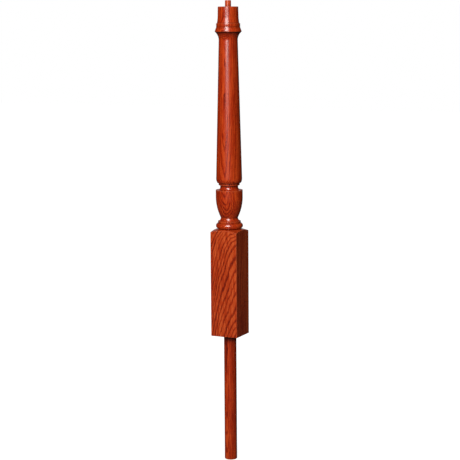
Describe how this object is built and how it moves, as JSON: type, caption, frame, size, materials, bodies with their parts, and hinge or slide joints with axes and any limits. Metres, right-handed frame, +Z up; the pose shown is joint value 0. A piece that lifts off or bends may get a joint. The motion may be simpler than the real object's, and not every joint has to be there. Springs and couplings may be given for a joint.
{
  "type": "volute newel post",
  "caption": "Turned hardwood newel post with a square block, urn and tapered shaft, a pin on top for the handrail's volute and a long dowel below for the starting step.",
  "frame": {"origin": "centre of the square block's underside, where the long dowel leaves it", "axes": "+Z up along the post towards the volute pin; X and Y square to the block's faces"},
  "size_m": [0.0762, 0.0762, 1.2285],
  "materials": {
    "stained_wood": "red cherry stain under satin lacquer, open grain showing"
  },
  "bodies": {
    "root": {"newel_post": "stained_wood"}
  },
  "joints": []
}
